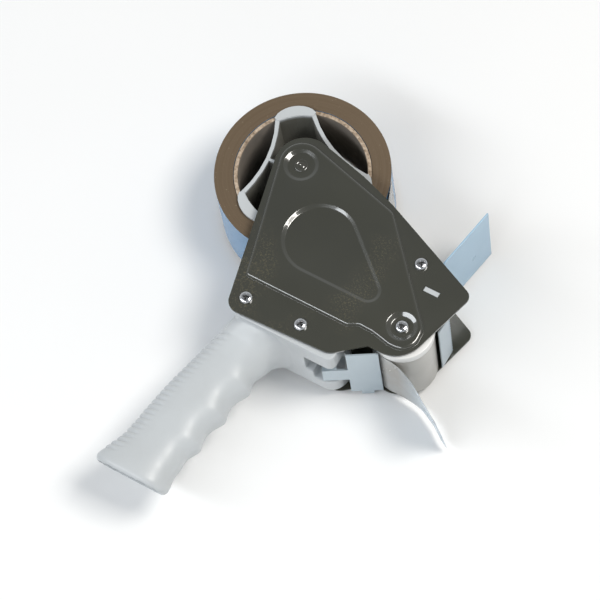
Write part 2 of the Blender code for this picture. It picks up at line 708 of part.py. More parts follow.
def make_wiper(plastic, sheet_look, steel):
    """Sheet flap clamped to a moulded holder, whose tabs sit in the slots of both plates."""
    low, high = FAR_FACE + SHEET + GAP, NEAR_FACE - SHEET - GAP
    root, tip, along, across = wiper_frame()
    skin = across * (WIPER_SHEET / 2)
    clear = across * (WIPER_SHEET / 2 + WIPER_PLAY)
    foot, head = root - along * 2.4, root + along * 2.0
    width, height = SLOT_SIZE[0] - 0.5, SLOT_SIZE[1] - 0.5
    left, right, top = SLOT[0] - width / 2, SLOT[0] + width / 2, SLOT[1] + height / 2
    body = [(left, BRACKET_TOP + GAP), (right, BRACKET_TOP + GAP), (right, top), tuple(head + clear + across * 3.5),
            tuple(head + clear), tuple(foot + clear), (left, top)]
    holder = piece("wiper_holder", plate(body, low, high), plastic)
    tabs = plate(rectangle(SLOT, (width, height)), FAR_FACE + 0.1, NEAR_FACE - 0.1)
    combine(holder, tabs, "add_holder_tabs", "UNION")
    end = [tuple(foot - skin), tuple(foot + skin), tuple(tip + skin), tuple(tip - skin)]
    flap = piece("wiper_flap", plate(end, low + 0.1, high - 0.1), sheet_look, WIPER_ROOT)
    strap = [tuple(foot - clear), tuple(foot - clear - across * 1.2), tuple(head - clear - across * 1.2),
             tuple(head - clear)]
    clamp = piece("wiper_clamp", plate(strap, low + 1.5, high - 1.5), steel)
    seat = root - clear - across * (1.2 + SEAT)
    outward = (-across.x, -across.y, 0)
    for place, level in (("near", high - 10), ("far", low + 10)):
        for obj in (holder, flap, clamp):
            hole = moved(rod(SMALL_HOLE_R, -4.8, 3), (*seat, level), outward)
            combine(obj, hole, f"cut_{place}_rivet_{obj.name}")
        piece("wiper_rivet_" + place, moved(small_fastener(4.5), (*seat, level), outward), steel)
        bore = moved(rod(SMALL_HOLE_R, -5.2, 3), (BRACKET_SCREW_X, BRACKET_TOP - BRACKET_SHEET, level), (0, -1, 0))
        combine(holder, bore, f"cut_{place}_bracket_bore")


def make_blade(painted, steel):
    """Toothed blade spot-welded to a bent bracket, which is screwed up into the wiper holder."""
    low, high = FAR_FACE + SHEET + 1.8, NEAR_FACE - SHEET - 1.8
    line = [(101.4, BRACKET_TOP), (112.6, BRACKET_TOP), (BLADE_X - GAP, -44.6), (BLADE_X - GAP, -50.5)]
    bracket = piece("blade_bracket", ribbon(line, BRACKET_SHEET, low, high), painted)
    pitch, tooth = 3.6, 1.9
    count = int((high - low) / pitch)
    base, tip = -52.6, -40.4
    outline = [(base, low + count * pitch), (base, low)]
    for i in range(count):
        outline += [(tip - tooth, low + i * pitch), (tip, low + (i + 0.5) * pitch)]
    outline.append((tip - tooth, low + count * pitch))
    bm = plate(outline, 0.0, BLADE_SHEET)
    bmesh.ops.transform(bm, matrix=Matrix(((0, 0, 1), (1, 0, 0), (0, 1, 0))).to_4x4(), verts=bm.verts)
    bmesh.ops.translate(bm, vec=(BLADE_X, 0, 0), verts=bm.verts)
    piece("blade", bm, steel)
    bracket_seat = BRACKET_TOP - BRACKET_SHEET - SEAT
    for place, level in (("near", high - 8.6), ("far", low + 8.6)):
        at = (BRACKET_SCREW_X, bracket_seat, level)
        combine(bracket, moved(rod(SMALL_HOLE_R, -3, 3), at, (0, -1, 0)), f"cut_{place}_bracket_hole")
        piece("bracket_screw_" + place, moved(small_fastener(5.0), at, (0, -1, 0)), steel)


# Brake

def flap_point(along, up):
    c, s = math.cos(math.radians(FLAP_ANGLE)), math.sin(math.radians(FLAP_ANGLE))
    return Vector((FLAP_ORIGIN[0] + along * c - up * s, FLAP_ORIGIN[1] + along * s + up * c))


def make_brake(sheet_look, steel):
    """Flap in its own plane: along the slope and along the gun's depth, with two ears for the pin."""
    arm_near, arm_far = depth(24.0), depth(38.0)
    near, far = depth(3.0), depth(56.0)
    face = [(0, arm_far), (0, arm_near), (15, arm_near), (15, near), (33.6, near), (33.6, far), (28.2, far),
            (28.2, far - 4.2), (21, far - 4.2), (21, far), (15, far), (15, arm_far)]
    bm = plate(face[::-1], 0.0, 1.0)
    c, s = math.cos(math.radians(FLAP_ANGLE)), math.sin(math.radians(FLAP_ANGLE))
    turn = Matrix(((c, 0, -s), (s, 0, c), (0, 1, 0)))
    bmesh.ops.transform(bm, matrix=turn.to_4x4(), verts=bm.verts)
    bmesh.ops.translate(bm, vec=(*FLAP_ORIGIN, 0), verts=bm.verts)
    bmesh.ops.recalc_face_normals(bm, faces=bm.faces)
    flap = piece("brake_flap", bm, sheet_look, BRAKE_PIVOT)
    ear = [flap_point(0, 0.2), flap_point(9.0, 0.2), flap_point(8.0, 7.5), flap_point(4.6, 9.3), flap_point(1.2, 8.0)]
    for name, low, high in (("near", arm_near - 1.0, arm_near), ("far", arm_far, arm_far + 1.0)):
        combine(flap, plate([tuple(p) for p in ear], low, high), "add_brake_ear_" + name, "UNION")
    combine(flap, moved(rod(1.6, arm_far - 3, arm_near + 3, 16), (*BRAKE_PIVOT, 0)), "cut_brake_ear_holes")
    piece("brake_pin", moved(rod(1.5, depth(46), depth(10), 16), (*BRAKE_PIVOT, 0)), steel)
    piece("brake_spring", moved(coil(2.4, 0.4, depth(35), depth(27), 5, 9), (*BRAKE_PIVOT, 0)), steel)


def make_gun():
    painted = material("dark_paint", (0.055, 0.053, 0.042), 0.3, 0.3)
    grey = material("grey_plastic", (0.64, 0.67, 0.69), 0.45)
    steel = material("plated_steel", (0.62, 0.68, 0.72), 0.25, 1.0)
    fibre = material("fibre_washer", (0.25, 0.12, 0.06), 0.8)
    card = material("cardboard_core", (0.52, 0.36, 0.22), 0.9)
    film = material("tape_film", (0.30, 0.48, 0.68), 0.2)
    wiper = material("wiper_film", (0.34, 0.50, 0.66), 0.3)
    make_near_plate(painted)
    make_far_plate(painted)
    make_handle(grey)
    make_side_screws(steel)
    make_roller(grey, steel, grey)
    make_hub(grey)
    make_roll(card, film)
    make_hub_axle(painted, steel, fibre, grey)
    make_strip(film)
    make_wiper(grey, wiper, steel)
    make_blade(painted, steel)
    make_brake(steel, steel)


clear_scene()
GUN = bpy.data.objects.new("gun_frame", None)
bpy.context.scene.collection.objects.link(GUN)
GUN.location = (HUB_X * MM, HUB_Y * MM, 0)
make_gun()
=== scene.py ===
"""Finished look of a pistol-grip packing-tape dispenser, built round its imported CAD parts.

Outlines are drawn in millimetres in the gun's own plane: the hub axle is at (0, 0), +X runs along the body
arm towards the roller and +Y towards the tape roll. Heights are millimetres above the surface that the gun
lies on.
"""

import math
import random

import bmesh
import bpy
from mathutils import Matrix, Vector, noise
from mathutils.geometry import delaunay_2d_cdt


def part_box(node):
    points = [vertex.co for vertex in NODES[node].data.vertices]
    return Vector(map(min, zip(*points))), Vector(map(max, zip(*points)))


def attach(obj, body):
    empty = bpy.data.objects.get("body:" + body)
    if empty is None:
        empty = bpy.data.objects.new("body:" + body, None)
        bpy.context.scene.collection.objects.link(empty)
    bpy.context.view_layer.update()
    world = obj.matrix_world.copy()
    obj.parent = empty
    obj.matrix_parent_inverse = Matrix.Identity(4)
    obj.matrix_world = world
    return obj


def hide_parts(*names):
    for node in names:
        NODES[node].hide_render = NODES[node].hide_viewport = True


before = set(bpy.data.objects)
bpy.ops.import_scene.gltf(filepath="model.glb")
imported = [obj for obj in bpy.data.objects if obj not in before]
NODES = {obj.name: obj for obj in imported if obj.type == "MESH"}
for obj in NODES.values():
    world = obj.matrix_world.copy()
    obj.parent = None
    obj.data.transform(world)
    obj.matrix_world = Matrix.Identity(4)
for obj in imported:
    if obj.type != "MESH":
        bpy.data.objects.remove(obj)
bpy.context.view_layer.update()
MM = 0.001


def middle(node):
    """Centre of a CAD part's box."""
    low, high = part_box(node)
    return (Vector(low) + Vector(high)) / 2


# Heights of the raised panels, and places read from the CAD parts
EMBOSS, FAR_EMBOSS = 2.0, 1.5
HUB_AT = middle("hub_axle")
NEAR_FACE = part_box("near_side_plate")[1][2] / MM - EMBOSS
FAR_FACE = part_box("far_side_plate")[0][2] / MM + FAR_EMBOSS
HUB_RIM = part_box("tape_hub")[1][2] / MM
ROLL_LOW, ROLL_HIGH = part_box("tape_roll")[0][2] / MM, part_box("tape_roll")[1][2] / MM

# Sizes of the gun, in millimetres
SHEET = 1.2
TEARDROP_DEPTH = 1.3
HUB_DISH_R, HUB_DISH_DEPTH = 10.6, 1.4
ROLLER_DISH_R, ROLLER_DISH_DEPTH = 9.4, 1.8
AXLE_HOLE_R = 4.0
CORE_BORE_R = 38.1
CORE_R = 40.5
ROLL_R = 52.0
FULL_ROLL_R = 74.0
HUB = (0.0, 0.0)
ROLLER = (101.8, -61.2)
ROLLER_R = 18.0
REAR_SCREW = (14.0, -87.5)
GRIP_SCREW = (50.0, -87.2)
FRONT_SCREW = (92.3, -22.1)
SLOT = (105.8, -34.1)
SLOT_SIZE = (9.8, 3.4)
SCREW_HOLE_R = 1.95
HEAD_R = 3.75
HEAD_HEIGHT = 2.4


# Outlines

def polar(centre, radius, degrees):
    angle = math.radians(degrees)
    return (centre[0] + radius * math.cos(angle), centre[1] + radius * math.sin(angle))


def arc(centre, radius, start, end, step=6.0):
    count = max(1, round(abs(end - start) / step))
    return [polar(centre, radius, start + (end - start) * i / count) for i in range(count + 1)]


def circle(centre, radius, sides=48):
    return [polar(centre, radius, 360 * i / sides) for i in range(sides)]


def rectangle(centre, size):
    x, y = centre
    w, h = size[0] / 2, size[1] / 2
    return [(x - w, y - h), (x + w, y - h), (x + w, y + h), (x - w, y + h)]


def rounded(corners, step=6.0):
    """Outline through (x, y, radius) corners, each filleted with its own radius."""
    points = []
    for i, (x, y, radius) in enumerate(corners):
        here = Vector((x, y))
        before = (Vector(corners[i - 1][:2]) - here).normalized()
        after = (Vector(corners[(i + 1) % len(corners)][:2]) - here).normalized()
        if radius == 0:
            points.append((x, y))
            continue
        half = before.angle(after) / 2
        centre = here + (before + after).normalized() * (radius / math.sin(half))
        first = here + before * (radius / math.tan(half)) - centre
        last = here + after * (radius / math.tan(half)) - centre
        start = math.degrees(math.atan2(first.y, first.x))
        turn = (math.degrees(math.atan2(last.y, last.x)) - start + 180) % 360 - 180
        points += arc(centre, radius, start, start + turn, step)
    return points


def inset(points, distance):
    """The outline moved inwards. It runs anticlockwise."""
    moved = []
    for i, point in enumerate(points):
        here = Vector(point)
        ahead = (Vector(points[(i + 1) % len(points)]) - here).normalized()
        back = (here - Vector(points[i - 1])).normalized()
        normal = (Vector((-ahead.y, ahead.x)) + Vector((-back.y, back.x))).normalized()
        spread = max(0.5, normal.dot(Vector((-ahead.y, ahead.x))))
        moved.append(tuple(here + normal * (distance / spread)))
    return moved


def inside(point, outline):
    x, y = point
    odd = False
    for i, (x1, y1) in enumerate(outline):
        x0, y0 = outline[i - 1]
        if (y0 > y) != (y1 > y) and x < (x1 - x0) * (y - y0) / (y1 - y0) + x0:
            odd = not odd
    return odd


def soft_step(t):
    t = min(1.0, max(0.0, t))
    return t * t * (3 - 2 * t)


# Meshes

def stamped(outline, bands, holes, thickness):
    """Sheet whose top passes through loops, each at its own height: outline, pressed bands, then holes."""
    loops = [outline] + bands + holes
    points, heights, edges = [], [], []
    for loop, height in loops:
        first = len(points)
        points += [Vector(p) for p in loop]
        heights += [height] * len(loop)
        edges += [(first + i, first + (i + 1) % len(loop)) for i in range(len(loop))]
    flat, _, faces, origins, _, _ = delaunay_2d_cdt(points, edges, [], 1, 1e-6)
    bm = bmesh.new()
    level = [heights[o[0]] for o in origins]
    top = [bm.verts.new((p.x, p.y, z)) for p, z in zip(flat, level)]
    bottom = [bm.verts.new((p.x, p.y, z - thickness)) for p, z in zip(flat, level)]
    rim = {}                # directed edges met once, in order
    for face in faces:
        centre = sum((flat[i] for i in face), Vector((0, 0))) / len(face)
        if not inside(centre, outline[0]) or any(inside(centre, loop) for loop, _ in holes):
            continue
        bm.faces.new([top[i] for i in face])
        bm.faces.new([bottom[i] for i in reversed(face)])
        for i, a in enumerate(face):
            b = face[(i + 1) % len(face)]
            if (b, a) in rim:
                del rim[(b, a)]
            else:
                rim[(a, b)] = True
    for a, b in rim:
        bm.faces.new([top[b], top[a], bottom[a], bottom[b]])
    loose = [v for v in bm.verts if not v.link_faces]
    bmesh.ops.delete(bm, geom=loose, context="VERTS")
    return bm


def turned(profile, sides=64):
    """Closed (radius, height) profile turned about the Z axis."""
    bm = bmesh.new()
    rings = []
    for radius, height in profile:
        if radius == 0:
            rings.append([bm.verts.new((0, 0, height))] * sides)
        else:
            rings.append([bm.verts.new((*polar(HUB, radius, 360 * i / sides), height)) for i in range(sides)])
    for ring, following in zip(rings, rings[1:] + rings[:1]):
        for i in range(sides):
            j = (i + 1) % sides
            corners = []
            for vert in (ring[i], ring[j], following[j], following[i]):
                if vert not in corners:
                    corners.append(vert)
            if len(corners) > 2:
                bm.faces.new(corners)
    bmesh.ops.recalc_face_normals(bm, faces=bm.faces)
    return bm


def lofted(sections):
    """Closed body through rings of 3-D points, with flat ends."""
    bm = bmesh.new()
    rings = [[bm.verts.new(p) for p in ring] for ring in sections]
    for ring, following in zip(rings, rings[1:]):
        for i in range(len(ring)):
            j = (i + 1) % len(ring)
            bm.faces.new([ring[i], ring[j], following[j], following[i]])
    bm.faces.new(rings[0])
    bm.faces.new(rings[-1])
    bmesh.ops.recalc_face_normals(bm, faces=bm.faces)
    return bm


def slab(centre, size, low, high):
    """Rectangular block between two heights."""
    return stamped((rectangle(centre, size), high), [], [], high - low)


def helper(name, bm):
    """Object from a mesh in millimetres round the hub axle, for a Boolean. It is removed afterwards."""
    bmesh.ops.scale(bm, vec=(MM, MM, MM), verts=bm.verts)
    obj = bpy.data.objects.new(name, bpy.data.meshes.new(name))
    bm.to_mesh(obj.data)
    bm.free()
    bpy.context.scene.collection.objects.link(obj)
    return obj


def shade(mesh, degrees):
    mesh.shade_smooth()
    mesh.set_sharp_from_angle(angle=math.radians(degrees))


def add_piece(name, bm, look, body, stands_for=(), at=HUB, smooth=35):
    """Object from a mesh in millimetres drawn round the point given, riding on a body of the gun."""
    bmesh.ops.scale(bm, vec=(MM, MM, MM), verts=bm.verts)
    mesh = bpy.data.meshes.new(name)
    bm.to_mesh(mesh)
    bm.free()
    shade(mesh, smooth)
    mesh.materials.append(look)
    obj = bpy.data.objects.new(name, mesh)
    bpy.context.scene.collection.objects.link(obj)
    obj.location = (HUB_AT.x + at[0] * MM, HUB_AT.y + at[1] * MM, 0)
    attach(obj, body)
    if stands_for:
        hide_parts(*stands_for)
    return obj


def soften(obj, width, segments=2, degrees=30):
    """Rounds the sharp edges of a piece with modifiers, which leave its own mesh as it is."""
    weld = obj.modifiers.new("weld", "WELD")
    weld.merge_threshold = 0.00001
    bevel = obj.modifiers.new("rounded_edges", "BEVEL")
    bevel.width = width * MM
    bevel.segments = segments
    bevel.limit_method = "ANGLE"
    bevel.angle_limit = math.radians(degrees)
    bevel.harden_normals = True


# Node materials

class Look:
    """Principled material with short calls for the nodes that vary it over the surface."""

    def __init__(self, name, colour, roughness, metallic=0.0):
        self.material = bpy.data.materials.new(name)
        self.material.use_nodes = True
        self.nodes = self.material.node_tree.nodes
        self.links = self.material.node_tree.links
        self.shader = self.nodes["Principled BSDF"]
        self.set("Base Color", (*colour, 1))
        self.set("Roughness", roughness)
        self.set("Metallic", metallic)
        self.place = self.nodes.new("ShaderNodeTexCoord").outputs["Object"]

    def set(self, socket, value):
        self.shader.inputs[socket].default_value = value

    def drive(self, socket, output):
        self.links.new(output, self.shader.inputs[socket])

    def stretched(self, scale, rotation=(0, 0, 0)):
        node = self.nodes.new("ShaderNodeMapping")
        node.inputs["Scale"].default_value = scale
        node.inputs["Rotation"].default_value = rotation
        self.links.new(self.place, node.inputs["Vector"])
        return node.outputs["Vector"]

    def noise(self, scale, detail=4.0, vector=None, rough=0.55, distortion=0.0):
        node = self.nodes.new("ShaderNodeTexNoise")
        node.inputs["Scale"].default_value = scale
        node.inputs["Detail"].default_value = detail
        node.inputs["Roughness"].default_value = rough
        node.inputs["Distortion"].default_value = distortion
        self.links.new(vector or self.place, node.inputs["Vector"])
        return node.outputs["Fac"]

    def ramp(self, factor, *stops):
        """Colour for each position of the factor, as (position, (r, g, b)) stops."""
        node = self.nodes.new("ShaderNodeValToRGB")
        elements = node.color_ramp.elements
        while len(elements) < len(stops):
            elements.new(0.5)
        for element, (position, colour) in zip(elements, stops):
            element.position = position
            element.color = (*colour, 1)
        self.links.new(factor, node.inputs["Fac"])
        return node.outputs["Color"]

    def spread(self, factor, low, high, start=0.3, end=0.7):
        """Number that goes from low to high as the factor goes from start to end."""
        node = self.nodes.new("ShaderNodeMapRange")
        for socket, value in (("From Min", start), ("From Max", end), ("To Min", low), ("To Max", high)):
            node.inputs[socket].default_value = value
        self.links.new(factor, node.inputs["Value"])
        return node.outputs["Result"]

    def math(self, operation, a, b):
        node = self.nodes.new("ShaderNodeMath")
        node.operation = operation
        for socket, value in zip(node.inputs, (a, b)):
            if isinstance(value, (int, float)):
                socket.default_value = value
            else:
                self.links.new(value, socket)
        return node.outputs["Value"]

    def mix(self, factor, first, second, blend="MIX"):
        """Mixes two colours, each an output or an (r, g, b)."""
        node = self.nodes.new("ShaderNodeMix")
        node.data_type = "RGBA"
        node.blend_type = blend
        for socket, value in ((node.inputs[0], factor), (node.inputs[6], first), (node.inputs[7], second)):
            if isinstance(value, (int, float)):
                socket.default_value = value
            elif isinstance(value, tuple):
                socket.default_value = (*value, 1)
            else:
                self.links.new(value, socket)
        return node.outputs[2]

    def bump(self, height, distance, strength=1.0):
        node = self.nodes.new("ShaderNodeBump")
        node.inputs["Strength"].default_value = strength
        node.inputs["Distance"].default_value = distance * MM
        self.links.new(height, node.inputs["Height"])
        if self.shader.inputs["Normal"].is_linked:
            self.links.new(self.shader.inputs["Normal"].links[0].from_socket, node.inputs["Normal"])
        self.drive("Normal", node.outputs["Normal"])

    def axis_value(self, name, source="place"):
        """One coordinate of the place, or of the surface normal."""
        split = self.nodes.new("ShaderNodeSeparateXYZ")
        if source == "place":
            self.links.new(self.place, split.inputs[0])
        else:
            self.links.new(self.nodes.new("ShaderNodeTexCoord").outputs["Normal"], split.inputs[0])
        return split.outputs[name]


def dark_paint(name="dark_paint", gloss=1.0):
    """Glossy dark enamel with a slight waviness. Its soft lighter and darker patches are painted shading, and
    its olive-gold flecks are painted glints of the rim light.
    """
    look = Look(name, (0.04, 0.04, 0.031), 0.22)
    clouds = look.noise(26, 3, rough=0.5)
    # painted shading: broad lighter and darker patches stand for the soft shading over the domed plate
    base = look.ramp(look.noise(10, 3), (0.3, (0.030, 0.031, 0.023)), (0.7, (0.041, 0.041, 0.029)))
    # painted glints: olive-gold flecks in cloudy patches stand for the rim light caught by the paint
    specks = look.spread(look.noise(900, 2), 0, 1, 0.5, 0.72)
    painted_glints = look.math("MULTIPLY", specks, look.spread(clouds, 0, 0.8, 0.52, 0.7))
    look.drive("Base Color", look.mix(painted_glints, base, (0.12, 0.105, 0.06)))
    look.drive("Roughness", look.spread(clouds, 0.18, 0.28))
    look.bump(look.noise(11, 1), 0.3, 0.25)
    look.set("IOR", 1.55)
    look.set("Coat Weight", gloss)
    look.set("Coat Roughness", 0.05)
    look.set("Coat IOR", 1.75)
    return look.material


def grey_moulding(name="grey_moulding"):
    """Light grey moulding with a fine satin texture and slight soiling."""
    look = Look(name, (0.60, 0.63, 0.65), 0.36)
    look.drive("Base Color", moulding_tone(look))
    look.drive("Roughness", look.spread(look.noise(160, 3), 0.32, 0.42))
    look.bump(look.noise(1900, 3), 0.012, 0.4)
    return look.material


def moulding_tone(look):
    soil = look.noise(22, 6, rough=0.65)
    return look.ramp(soil, (0.25, (0.50, 0.52, 0.53)), (0.6, (0.54, 0.565, 0.58)))


def hub_moulding():
    """The same moulding, with painted shade darkening it below its near rim, for the shadow deep in the hub's
    pockets.
    """
    look = Look("hub_moulding", (0.6, 0.63, 0.65), 0.4)
    height = look.axis_value("Z")
    rim = HUB_RIM * MM
    # painted shade: the plastic more than a few millimetres below the rim turns dark, for the shadow inside
    # the hub
    below = look.spread(height, 1, 0, rim - 0.0035, rim - 0.0012)
    pocket_shade = look.ramp(look.noise(40, 4), (0.3, (0.17, 0.165, 0.14)), (0.7, (0.25, 0.245, 0.22)))
    look.drive("Base Color", look.mix(below, moulding_tone(look), pocket_shade))
    look.drive("Roughness", look.spread(look.noise(160, 3), 0.36, 0.5))
    look.bump(look.noise(1900, 3), 0.012, 0.4)
    return look.material


def roller_plastic():
    """Smooth roller with a pale near rim and faint rings worn in by the tape."""
    look = Look("roller_plastic", (0.5, 0.49, 0.46), 0.34)
    height = look.axis_value("Z")
    rings = look.noise(260, 4, look.stretched((0.02, 0.02, 1)))
    tone = look.ramp(look.noise(22, 3), (0.3, (0.40, 0.385, 0.355)), (0.7, (0.52, 0.51, 0.48)))
    tone = look.mix(look.spread(rings, 0, 0.25), tone, (0.58, 0.57, 0.55))
    rim = look.spread(height, 0, 1, (ROLL_HIGH - 0.2) * MM, (ROLL_HIGH + 0.6) * MM)
    look.drive("Base Color", look.mix(rim, tone, (0.76, 0.755, 0.74)))
    look.drive("Roughness", look.spread(rings, 0.26, 0.4))
    look.bump(rings, 0.015, 0.4)
    return look.material


def bright_plating():
    """Bright plated screws with a little grime."""
    look = Look("bright_plating", (0.82, 0.83, 0.86), 0.1, 1.0)
    grime = look.noise(500, 5, rough=0.7)
    look.drive("Base Color", look.ramp(grime, (0.3, (0.62, 0.62, 0.62)), (0.5, (0.84, 0.85, 0.88))))
    look.drive("Roughness", look.spread(grime, 0.16, 0.07))
    look.bump(look.noise(1500, 2), 0.005, 0.3)
    return look.material


def plain_steel(name, across, metallic=1.0):
    """Zinc-plated steel with a faint grain that runs along one axis."""
    look = Look(name, (0.46, 0.52, 0.57), 0.36, metallic)
    grain = look.noise(500, 3, look.stretched(across))
    tone = look.ramp(look.noise(20, 3), (0.3, (0.44, 0.51, 0.56)), (0.7, (0.50, 0.575, 0.62)))
    look.drive("Base Color", look.mix(look.spread(grain, 0, 0.15), tone, (0.62, 0.68, 0.72)))
    look.drive("Roughness", look.spread(grain, 0.32, 0.42))
    look.bump(grain, 0.004, 0.3)
    return look.material


def fibre():
    look = Look("fibre_washer", (0.2, 0.1, 0.05), 0.8)
    strands = look.noise(600, 5)
    look.drive("Base Color", look.ramp(strands, (0.3, (0.14, 0.07, 0.035)), (0.7, (0.26, 0.14, 0.07))))
    look.bump(strands, 0.05, 0.6)
    return look.material


def kraft_card():
    """Speckled cardboard at the cut end; its walls are painted dark, as painted shade for the deep shadow
    inside the core.
    """
    look = Look("kraft_card", (0.40, 0.29, 0.2), 0.85)
    fibres = look.noise(420, 5, rough=0.7)
    end = look.ramp(fibres, (0.35, (0.17, 0.12, 0.08)), (0.5, (0.42, 0.32, 0.23)), (0.65, (0.60, 0.49, 0.38)))
    # painted shade: the walls, which face sideways, get a dark colour for the shadow inside the core
    wall = look.ramp(look.noise(60, 4), (0.3, (0.13, 0.115, 0.10)), (0.7, (0.19, 0.165, 0.14)))
    facing = look.math("ABSOLUTE", look.axis_value("Z", "normal"), 0)
    look.drive("Base Color", look.mix(look.spread(facing, 0, 1, 0.35, 0.6), wall, end))
    look.drive("Roughness", look.spread(look.noise(120, 3), 0.75, 0.95))
    look.bump(fibres, 0.06, 0.5)
    return look.material


def wound_tape():
    """Cut edges show brown winding lines; the outer turn is glossy and painted blue, a painted reflection of
    the bluish light on the brown tape.
    """
    look = Look("wound_tape", (0.2, 0.3, 0.4), 0.35)
    x, y = look.axis_value("X"), look.axis_value("Y")
    radius = look.math("SQRT", look.math("ADD", look.math("POWER", x, 2), look.math("POWER", y, 2)), 0)
    join = look.nodes.new("ShaderNodeCombineXYZ")
    look.links.new(radius, join.inputs[0])
    turns = look.noise(2200, 3, join.outputs[0])
    bands = look.noise(330, 3, join.outputs[0])
    edge = look.ramp(turns, (0.3, (0.108, 0.073, 0.041)), (0.55, (0.132, 0.090, 0.051)),
                     (0.75, (0.165, 0.116, 0.068)))
    edge = look.mix(look.spread(bands, 0, 0.45), edge, (0.095, 0.064, 0.034))
    edge = look.mix(look.spread(look.noise(14, 3), 0, 0.4), edge, (0.15, 0.105, 0.065))
    edge = look.mix(look.spread(look.noise(700, 2), 0, 0.5, 0.68, 0.76), edge, (0.36, 0.29, 0.2))
    # painted reflection: the outer turn's blue stands for bluish light mirrored in the glossy tape
    outer = look.ramp(look.noise(12, 3), (0.3, (0.15, 0.29, 0.47)), (0.7, (0.21, 0.37, 0.57)))
    facing = look.math("ABSOLUTE", look.axis_value("Z", "normal"), 0)
    on_edge = look.math("GREATER_THAN", facing, 0.5)
    look.drive("Base Color", look.mix(on_edge, outer, edge))
    look.drive("Roughness", look.spread(on_edge, 0.25, 0.55, 0, 1))
    look.bump(look.math("MULTIPLY", turns, on_edge), 0.03, 0.5)
    return look.material


def tape_film():
    """Clear film, beige where the adhesive shows near the roller and, towards its free end, pale blue as a
    painted reflection of the bluish light.
    """
    look = Look("tape_film", (0.62, 0.68, 0.72), 0.22)
    along = look.spread(look.axis_value("X"), 0, 1, 0.108, 0.128)
    # painted reflection: the film turns pale blue along X towards its free end
    tone = look.mix(along, (0.50, 0.475, 0.435), (0.60, 0.71, 0.80))
    tone = look.mix(look.spread(look.noise(30, 3), 0, 0.4), tone, (0.74, 0.79, 0.84))
    creases = look.noise(90, 4, look.stretched((1, 1, 0.5)), rough=0.6, distortion=1.0)
    look.drive("Base Color", look.mix(look.spread(creases, 0, 0.7, 0.70, 0.78), tone, (0.25, 0.17, 0.10)))
    look.drive("Roughness", look.spread(creases, 0.16, 0.3))
    look.bump(look.noise(45, 2), 0.15, 0.3)
    look.set("Transmission Weight", 0.3)
    look.set("IOR", 1.48)
    return look.material


def wiper_film():
    """Springy light blue sheet, a little hazy."""
    look = Look("wiper_film", (0.34, 0.50, 0.64), 0.3)
    haze = look.noise(14, 3)
    look.drive("Base Color", look.ramp(haze, (0.3, (0.31, 0.46, 0.60)), (0.7, (0.37, 0.54, 0.68))))
    look.drive("Roughness", look.spread(look.noise(60, 3), 0.26, 0.36))
    look.bump(look.noise(30, 1), 0.08, 0.2)
    look.set("Coat Weight", 0.2)
    return look.material


# Side plates

def nose_corners(front):
    """Corners of both plates: the notch, round the roller, and the front corner."""
    return [(90.2, -80.4, 2.0), (112.4, -80.8, 19.0), (front, -26.0, 5.5)]


# Shares of the width and of the height along a pressed wall
STEP = [(0, 0), (0.08, 0.02), (0.15, 0.14), (0.25, 0.45), (0.34, 0.68), (0.4, 0.745), (0.84, 0.975), (1, 1)]
DISH = [(0, 0), (0.08, 0.03), (0.2, 0.14), (0.8, 0.86), (0.92, 0.97), (1, 1)]


def pressed(loop, width, low, high, wall):
    """Bands that carry the sheet from one height to another over a width."""
    return [(inset(loop, width * across), low + (high - low) * along) for across, along in wall]


def teardrop():
    """Hull of the large and small circles of the pressed teardrop."""
    large, small = (33.5, -36.0), (74.0, -51.0)
    large_r, small_r = 22.8, 7.8
    run = math.degrees(math.atan2(small[1] - large[1], small[0] - large[0]))
    lean = math.degrees(math.acos((large_r - small_r) / math.dist(large, small)))
    small_arc = arc(small, small_r, run - lean, run + lean, 8)
    return small_arc + arc(large, large_r, run + lean, run + 360 - lean, 6)


def screw_holes():
    return [circle(at, SCREW_HOLE_R, 24) for at in (REAR_SCREW, GRIP_SCREW, ROLLER, FRONT_SCREW)]


def build_near_plate(look):
    outline = rounded([(6.5, -98.0, 8.0), (72.9, -95.0, 10.0)] + nose_corners(127.9)
                      + [(60.0, 2.9, 25.0), (36.5, 10.9, 40.0), (-22.7, 25.1, 17.5)], 5)
    foot = rounded([(6.3, -75.7, 3.0), (73.5, -75.7, 4.0), (79.5, -72.3, 5.0), (88.5, -72.6, 6.0),
                    (101.0, -75.2, 12.0), (115.3, -74.0, 11.0), (114.2, -57.0, 8.0), (62.5, -1.0, 8.0),
                    (-19.6, 20.2, 13.5)], 8)
    flange, crown = NEAR_FACE, NEAR_FACE + EMBOSS
    bands = pressed(foot, 2.0, flange, crown, STEP)
    hub_dish, roller_dish = crown - HUB_DISH_DEPTH, crown - ROLLER_DISH_DEPTH
    bands += pressed(teardrop(), 2.6, crown, crown - TEARDROP_DEPTH, DISH)
    bands += pressed(circle(HUB, HUB_DISH_R), 2.8, crown, hub_dish, DISH)
    bands += pressed(circle(ROLLER, ROLLER_DISH_R), 3.2, crown, roller_dish, DISH)
    screws = screw_holes()
    holes = [(screws[0], flange), (screws[1], flange), (screws[2], roller_dish), (screws[3], flange),
             (rectangle(SLOT, SLOT_SIZE), flange), (circle(HUB, AXLE_HOLE_R, 40), hub_dish)]
    plate = add_piece("near_plate_pressing", stamped((outline, flange), bands, holes, SHEET), look, "frame",
                      ["near_side_plate"], smooth=50)
    soften(plate, 0.3, 2, 60)


